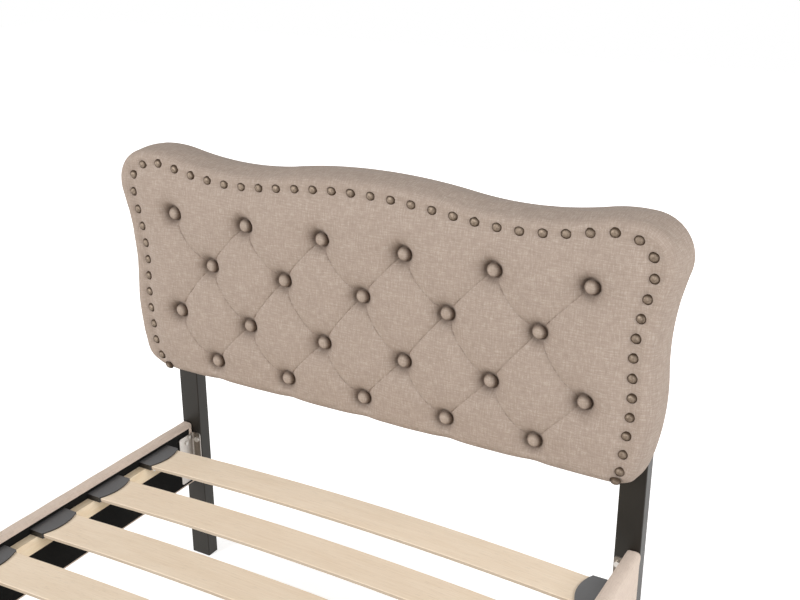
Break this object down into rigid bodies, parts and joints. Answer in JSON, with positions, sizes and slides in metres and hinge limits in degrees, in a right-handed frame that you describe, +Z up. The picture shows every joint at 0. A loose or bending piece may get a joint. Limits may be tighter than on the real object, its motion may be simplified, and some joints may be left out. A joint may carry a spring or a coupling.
{
  "type": "upholstered bed frame",
  "caption": "Low bed frame with a button-tufted, nail-trimmed headboard on steel posts, padded side and foot rails, and arched wooden slats in end caps.",
  "frame": {"origin": "on the floor, under the middle of the whole bed's bounding box", "axes": "+X across the bed, to the right seen from the foot end; +Y along the bed to the head; +Z up"},
  "size_m": [1.127, 2.0982, 0.9679],
  "materials": {
    "linen": "matte",
    "black_lining": "matte",
    "plywood": "matte",
    "pine": "matte",
    "hardboard": "matte",
    "slat_wood": "satin",
    "antique_brass": "satin",
    "dark_steel": "satin",
    "zinc_steel": "satin",
    "black_plastic": "matte",
    "grey_plastic": "matte"
  },
  "bodies": {
    "root": {"bracket_screws": "zinc_steel", "decor_nails": "antique_brass", "floor_glides": "black_plastic", "foot_bolts": "zinc_steel", "foot_bracket_left": "zinc_steel", "foot_bracket_right": "zinc_steel", "foot_inserts": "zinc_steel", "foot_leg_left": "dark_steel", "foot_leg_right": "dark_steel", "foot_rail_board": "pine", "foot_rail_cover": "linen", "foot_rail_lining": "black_lining", "head_bracket_bolts": "zinc_steel", "head_bracket_left": "zinc_steel", "head_bracket_right": "zinc_steel", "headboard_back_cover": "black_lining", "headboard_bolts": "zinc_steel", "headboard_bottom_batten": "pine", "headboard_edge_band": "hardboard", "headboard_inserts": "zinc_steel", "headboard_pad": "linen", "headboard_panel": "plywood", "headboard_top_batten": "pine", "headboard_upright_left": "pine", "headboard_upright_right": "pine", "headboard_washers": "zinc_steel", "ledger_left": "pine", "ledger_right": "pine", "ledger_screws_left": "zinc_steel", "ledger_screws_right": "zinc_steel", "post_left": "dark_steel", "post_right": "dark_steel", "post_rivet_nuts": "zinc_steel", "rail_board_left": "pine", "rail_board_right": "pine", "rail_cover_left": "linen", "rail_cover_right": "linen", "rail_lining_left": "black_lining", "rail_lining_right": "black_lining", "slat_01": "slat_wood", "slat_02": "slat_wood", "slat_03": "slat_wood", "slat_04": "slat_wood", "slat_05": "slat_wood", "slat_06": "slat_wood", "slat_07": "slat_wood", "slat_08": "slat_wood", "slat_09": "slat_wood", "slat_10": "slat_wood", "slat_11": "slat_wood", "slat_12": "slat_wood", "slat_13": "slat_wood", "slat_caps_left": "grey_plastic", "slat_caps_right": "grey_plastic", "tube_top_caps": "black_plastic", "tuft_anchors": "black_plastic", "tuft_buttons": "linen"}
  },
  "joints": []
}
